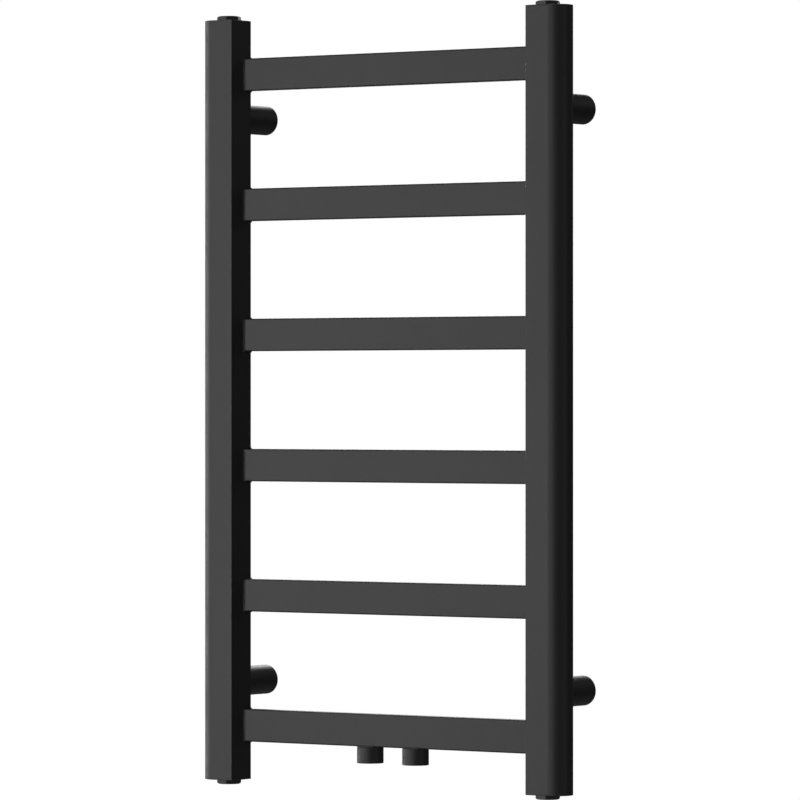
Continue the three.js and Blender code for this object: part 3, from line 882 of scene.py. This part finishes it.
for end, side in corners:
    vented = (end, side) == ("top", "right")
    node = f"{end}_{side}_vent_plug" if vented else f"{end}_{side}_blanking_plug"
    outward = Vector((0, 0, 1 if end == "top" else -1))
    cap_low, cap_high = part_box(f"{end}_{side}_end_cap")
    seal_low, seal_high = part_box(f"{end}_{side}_plug_seal")
    seal_at = (seal_low + seal_high) / 2
    foot = Vector((seal_at.x, seal_at.y, cap_high.z if end == "top" else cap_low.z))
    bpy.ops.object.select_all(action="DESELECT")
    bpy.ops.mesh.primitive_cylinder_add(
        vertices=6,
        radius=PLUG_CORNER,
        depth=PLUG_HEAD,
        location=foot + outward * PLUG_HEAD / 2,
        rotation=(0, 0, PLUG_TURN + math.radians(30)),
    )
    plug = bpy.context.object
    plug.name = f"{end}_{side}_hex_plug"
    bpy.ops.object.transform_apply()
    slope = PLUG_CHAMFER / (PLUG_CORNER - PLUG_TOP_RADIUS)
    wide = 1.3 * PLUG_CORNER
    chamfer = turn_outline(
        "chamfer",
        foot,
        outward,
        [
            (0, -CUTTER_SPARE),
            (wide, -CUTTER_SPARE),
            (wide, PLUG_HEAD - slope * (wide - PLUG_TOP_RADIUS)),
            (PLUG_TOP_RADIUS, PLUG_HEAD),
            (PLUG_DISH, PLUG_HEAD),
            (PLUG_DISH_FLOOR, PLUG_HEAD - PLUG_DISH_DEPTH),
            (0, PLUG_HEAD - PLUG_DISH_DEPTH),
        ],
    )
    combine(plug, [chamfer], "INTERSECT")
    apply_modifier(
        plug, "BEVEL", width=FINE_EDGE, segments=2, limit_method="ANGLE", angle_limit=PLUG_EDGE_ANGLE
    )
    neck = add_rod("neck", foot, PLUG_NECK, 2 * SEAL_SEAT_DEPTH + NECK_SPARE)
    thread = turn_threaded(
        "thread",
        foot,
        outward,
        [
            (0, -PLUG_LENGTH),
            (PLUG_THREAD - PLUG_POINT, -PLUG_LENGTH),
            (PLUG_THREAD + THREAD_PLAY, PLUG_POINT + THREAD_PLAY - PLUG_LENGTH),
            (PLUG_THREAD + THREAD_PLAY, -SEAL_SEAT_DEPTH),
            (0, -SEAL_SEAT_DEPTH),
        ],
        PLUG_THREAD - PLUG_THREAD_HEIGHT,
        PLUG_THREAD,
        PLUG_PITCH,
    )
    combine(plug, [neck, thread], "UNION")
    if vented:
        bore_radius = VENT_SCREW + VENT_PLAY
        bore = add_rod("bore", foot + outward * PLUG_HEAD, bore_radius, 2 * VENT_BORE_DEPTH, sides=40)
        passage = add_rod("passage", foot, AIR_PASSAGE, AIR_PASSAGE_LENGTH, sides=24)
        combine(plug, [bore, passage], "DIFFERENCE")
    smooth_over(plug)
    plug.data.materials.append(plug_coat)
    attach(plug, "radiator")
    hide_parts(node)

# Plug seals: black rubber rings, pinched between the plug's head and the counterbore in the cap.
SEAL_SECTION = 0.0008
rubber = bpy.data.materials.new("black seal rubber")
rubber.use_nodes = True
rubber_tree = rubber.node_tree
rubber_skin = rubber_tree.nodes["Principled BSDF"]
rubber_skin.inputs["Roughness"].default_value = 0.75
bloom = rubber_tree.nodes.new("ShaderNodeTexNoise")
bloom.inputs["Scale"].default_value = 700
bloom_place = rubber_tree.nodes.new("ShaderNodeTexCoord")
bloom_tone = rubber_tree.nodes.new("ShaderNodeValToRGB")
bloom_tone.color_ramp.elements[0].color = (0.012, 0.012, 0.012, 1)
bloom_tone.color_ramp.elements[1].color = (0.035, 0.035, 0.036, 1)
rubber_tree.links.new(bloom_place.outputs["Object"], bloom.inputs["Vector"])
rubber_tree.links.new(bloom.outputs["Fac"], bloom_tone.inputs["Fac"])
rubber_tree.links.new(bloom_tone.outputs["Color"], rubber_skin.inputs["Base Color"])

low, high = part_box("bottom_left_plug_seal")
bpy.ops.object.select_all(action="DESELECT")
bpy.ops.mesh.primitive_torus_add(
    location=(low + high) / 2,
    major_radius=(high.x - low.x) / 2 - SEAL_SECTION,
    minor_radius=SEAL_SECTION,
    major_segments=64,
    minor_segments=16,
)
ring = bpy.context.object
ring.name = "seal_ring"
bpy.ops.object.transform_apply()
smooth_over(ring)
ring.data.materials.append(rubber)

for end, side in corners:
    node = f"{end}_{side}_plug_seal"
    seal = copy_for(ring, f"{end}_{side}_seal_ring", "bottom_left_plug_seal", node)
    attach(seal, "radiator")
    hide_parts(f"{end}_{side}_plug_seal")
bpy.data.objects.remove(ring)

# Bleed screw: a small turned brass screw with a slot for a screwdriver and a conical tip, which closes the
# air passage in the vent plug.
VENT_LENGTH = 0.0088
VENT_TIP = 0.0008
VENT_CONE = 0.0023
VENT_THREAD_HEIGHT = 0.0005
VENT_SLOT = Vector((0.008, 0.0012, 0.003))
brass = metal_material(
    "turned brass", (0.6, 0.44, 0.18), tarnish=(0.36, 0.24, 0.1), roughness=0.28, axis=(0, 0, 1)
)
low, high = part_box("bleed_screw")
head_at = Vector(((low.x + high.x) / 2, (low.y + high.y) / 2, high.z))
screw = turn_threaded(
    "bleed_screw_brass",
    head_at,
    up,
    [
        (0, -VENT_LENGTH),
        (VENT_TIP, -VENT_LENGTH),
        (VENT_SCREW + THREAD_PLAY, VENT_CONE - VENT_LENGTH),
        (VENT_SCREW + THREAD_PLAY, -VENT_THREAD_HEIGHT),
        (VENT_SCREW - VENT_THREAD_HEIGHT, 0),
        (0, 0),
    ],
    VENT_SCREW - VENT_THREAD_HEIGHT,
    VENT_SCREW,
    VENT_PITCH,
)
combine(screw, [add_block("slot", head_at - VENT_SLOT / 2, head_at + VENT_SLOT / 2)], "DIFFERENCE")
smooth_over(screw)
screw.data.materials.append(brass)
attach(screw, "bleed_valve")
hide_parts("bleed_screw")

# Bracket sleeves: turned steel cups with a screw hole through the foot, which are screwed to the wall. Each
# is bored for a stand-off pin and tapped underneath for a grub screw, and coated like the frame.
SLEEVE_BASE = 0.004
SLEEVE_BORE = 0.0083
SLEEVE_BORE_EDGE = 0.0005
SLEEVE_EDGE = 0.0006
SLEEVE_STEPS = 96
WALL_SCREW = 0.00275
SCREW_HEAD = 0.0052
GRUB = 0.003
GRUB_PITCH = 0.001
GRUB_TAP_LENGTH = 0.008
GRUB_TAP_INSIDE = 0.002
GRUB_TAP_HEIGHT = 0.0005
GRUB_MOUTH = 0.0014
GRUB_MOUTH_DEPTH = 0.0006
from_wall = Vector((0, -1, 0))
down = Vector((0, 0, -1))
bracket_coat = coat_material("matt black bracket coat", (0.042, 0.042, 0.042), roughness=0.42, dust=0.12)


def rounded_corner(radius, size, count=4):
    """The outline points of a rod's rounded end, from its flat end to its side, as (radius, height)."""
    angles = [math.pi / 2 * i / count for i in range(count + 1)]
    return [(radius - size * (1 - math.sin(a)), size * (1 - math.cos(a))) for a in angles]


low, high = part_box("bottom_left_bracket_sleeve")
foot = Vector(((low.x + high.x) / 2, high.y, (low.z + high.z) / 2))
radius = (high.x - low.x) / 2
length = high.y - low.y
eased = rounded_corner(radius, SLEEVE_EDGE)
cup = turn_outline(
    "turned_cup",
    foot,
    from_wall,
    [(WALL_SCREW, 0)]
    + eased
    + [(r, length - h) for r, h in reversed(eased)]
    + [
        (SLEEVE_BORE + SLEEVE_BORE_EDGE, length),
        (SLEEVE_BORE, length - SLEEVE_BORE_EDGE),
        (SLEEVE_BORE, SLEEVE_BASE),
        (SCREW_HEAD, SLEEVE_BASE),
        (WALL_SCREW, SLEEVE_BASE - (SCREW_HEAD - WALL_SCREW)),
        (WALL_SCREW, 0),
    ],
    steps=SLEEVE_STEPS,
)
grub_low, grub_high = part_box("bottom_left_grub_screw")
grub_y = (grub_low.y + grub_high.y) / 2
tap = cut_thread("tap", GRUB + THREAD_PLAY, GRUB + GRUB_TAP_HEIGHT, GRUB_PITCH, GRUB_TAP_LENGTH)
place_upright(tap, Vector((foot.x, grub_y, foot.z - SLEEVE_BORE + GRUB_TAP_INSIDE)), down)
mouth = turn_outline(
    "mouth",
    Vector((foot.x, grub_y, low.z)),
    down,
    [
        (0, -GRUB_MOUTH_DEPTH),
        (GRUB + 2 * THREAD_PLAY, -GRUB_MOUTH_DEPTH),
        (GRUB + GRUB_MOUTH, GRUB_MOUTH_DEPTH),
        (0, GRUB_MOUTH_DEPTH),
    ],
    steps=40,
)
combine(cup, [tap, mouth], "DIFFERENCE")
smooth_over(cup)
cup.data.materials.append(bracket_coat)

for end, side in corners:
    node = f"{end}_{side}_bracket_sleeve"
    sleeve = copy_for(cup, f"{end}_{side}_wall_sleeve", "bottom_left_bracket_sleeve", node)
    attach(sleeve, "wall_brackets")
    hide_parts(f"{end}_{side}_bracket_sleeve")
bpy.data.objects.remove(cup)

# Grub screws: short socket screws with a chamfered tip, black oxide, which clamp the pin from below.
# Each turns in the thread under its own sleeve.
GRUB_KEY = 0.003 / math.sqrt(3)
GRUB_KEY_DEPTH = 0.0025
GRUB_THREAD_HEIGHT = 0.00045
GRUB_TIP = 0.0009
GRUB_TAIL = 0.0006
grub_oxide = metal_material(
    "black oxide",
    (0.05, 0.05, 0.055),
    tarnish=(0.03, 0.028, 0.03),
    roughness=0.38,
    axis=(0, 0, 1),
    depth=0.000003,
)

low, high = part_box("bottom_left_grub_screw")
tip = Vector(((low.x + high.x) / 2, (low.y + high.y) / 2, high.z))
length = high.z - low.z
wide = GRUB + THREAD_PLAY
ends = [(0, 0), (GRUB - GRUB_TIP, 0), (wide, GRUB_TIP + THREAD_PLAY)]
ends += [(wide, length - GRUB_TAIL - THREAD_PLAY), (GRUB - GRUB_TAIL, length), (0, length)]
clamp = turn_threaded("clamp", tip, down, ends, GRUB - GRUB_THREAD_HEIGHT, GRUB, GRUB_PITCH)
key = add_rod("key", tip + down * length, GRUB_KEY, 2 * GRUB_KEY_DEPTH, sides=6)
combine(clamp, [key], "DIFFERENCE")
smooth_over(clamp)
clamp.data.materials.append(grub_oxide)

for end, side in corners:
    node = f"{end}_{side}_grub_screw"
    grub = copy_for(clamp, f"{end}_{side}_clamp_screw", "bottom_left_grub_screw", node)
    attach(grub, f"{end}_{side}_grub")
    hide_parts(f"{end}_{side}_grub_screw")
bpy.data.objects.remove(clamp)

# Stand-off pins: turned steel, zinc plated, with a hex socket in the wall end. Each screws into a bush in
# the back of the upright and slides in its sleeve.
PIN_RADIUS = 0.008
PIN_ROUNDING = 0.001
PIN_SHOULDER_EDGE = 0.0003
PIN_THREAD = 0.0037
PIN_THREAD_HEIGHT = 0.0006
PIN_PITCH = 0.00125
PIN_THREAD_LENGTH = 0.01
PIN_THREAD_OVERLAP = 0.001
PIN_KEY = 0.006 / math.sqrt(3)
PIN_KEY_DEPTH = 0.005
zinc = metal_material(
    "zinc plating", (0.55, 0.56, 0.57), tarnish=(0.42, 0.43, 0.45), roughness=0.3, axis=(0, 1, 0)
)

low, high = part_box("bottom_left_standoff_pin")
tail = Vector(((low.x + high.x) / 2, high.y, (low.z + high.z) / 2))
reach = high.y - low.y
length = reach - PIN_THREAD_LENGTH
shoulder = [(PIN_RADIUS, length - PIN_SHOULDER_EDGE), (PIN_RADIUS - PIN_SHOULDER_EDGE, length), (0, length)]
rounded = rounded_corner(PIN_RADIUS, PIN_ROUNDING)
turned_pin = turn_outline("turned_pin", tail, from_wall, [(0, 0)] + rounded + shoulder)
wide = PIN_THREAD + THREAD_PLAY
root = PIN_THREAD - PIN_THREAD_HEIGHT
ends = [(0, length - PIN_THREAD_OVERLAP), (wide, length - PIN_THREAD_OVERLAP)]
ends += [(wide, reach - PIN_THREAD_HEIGHT - THREAD_PLAY), (root, reach), (0, reach)]
thread = turn_threaded("thread", tail, from_wall, ends, root, PIN_THREAD, PIN_PITCH)
combine(turned_pin, [thread], "UNION")
key = add_rod("key", tail, PIN_KEY, 2 * PIN_KEY_DEPTH, direction="Y", sides=6)
combine(turned_pin, [key], "DIFFERENCE")
smooth_over(turned_pin)
turned_pin.data.materials.append(zinc)

for end, side in corners:
    node = f"{end}_{side}_standoff_pin"
    pin = copy_for(turned_pin, f"{end}_{side}_zinc_pin", "bottom_left_standoff_pin", node)
    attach(pin, "radiator")
    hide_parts(f"{end}_{side}_standoff_pin")
bpy.data.objects.remove(turned_pin)

# Weld bushes: blind threaded bushes of bare steel, let into the back of each upright and welded flush.
# They take the stand-off pins.
BUSH_BORE_DEPTH = 0.011
BUSH_CHAMFER = 0.0008
BUSH_TAP_OUTSIDE = 0.001

low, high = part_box("bottom_left_weld_bush")
mouth_at = Vector(((low.x + high.x) / 2, high.y, (low.z + high.z) / 2))
radius = (high.x - low.x) / 2
length = high.y - low.y
blind_bush = turn_outline(
    "blind_bush",
    mouth_at,
    from_wall,
    [(0, 0), (radius, 0), (radius, length - BUSH_CHAMFER), (radius - BUSH_CHAMFER, length), (0, length)],
    steps=48,
)
tap_length = BUSH_BORE_DEPTH + BUSH_TAP_OUTSIDE
tap = cut_thread("tap", PIN_THREAD + THREAD_PLAY, PIN_THREAD + PIN_THREAD_HEIGHT, PIN_PITCH, tap_length)
place_upright(tap, mouth_at - from_wall * BUSH_TAP_OUTSIDE, from_wall)
combine(blind_bush, [tap], "DIFFERENCE")
smooth_over(blind_bush)
blind_bush.data.materials.append(bare_steel)

for end, side in corners:
    node = f"{end}_{side}_weld_bush"
    bush = copy_for(blind_bush, f"{end}_{side}_threaded_bush", "bottom_left_weld_bush", node)
    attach(bush, "radiator")
    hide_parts(f"{end}_{side}_weld_bush")
bpy.data.objects.remove(blind_bush)
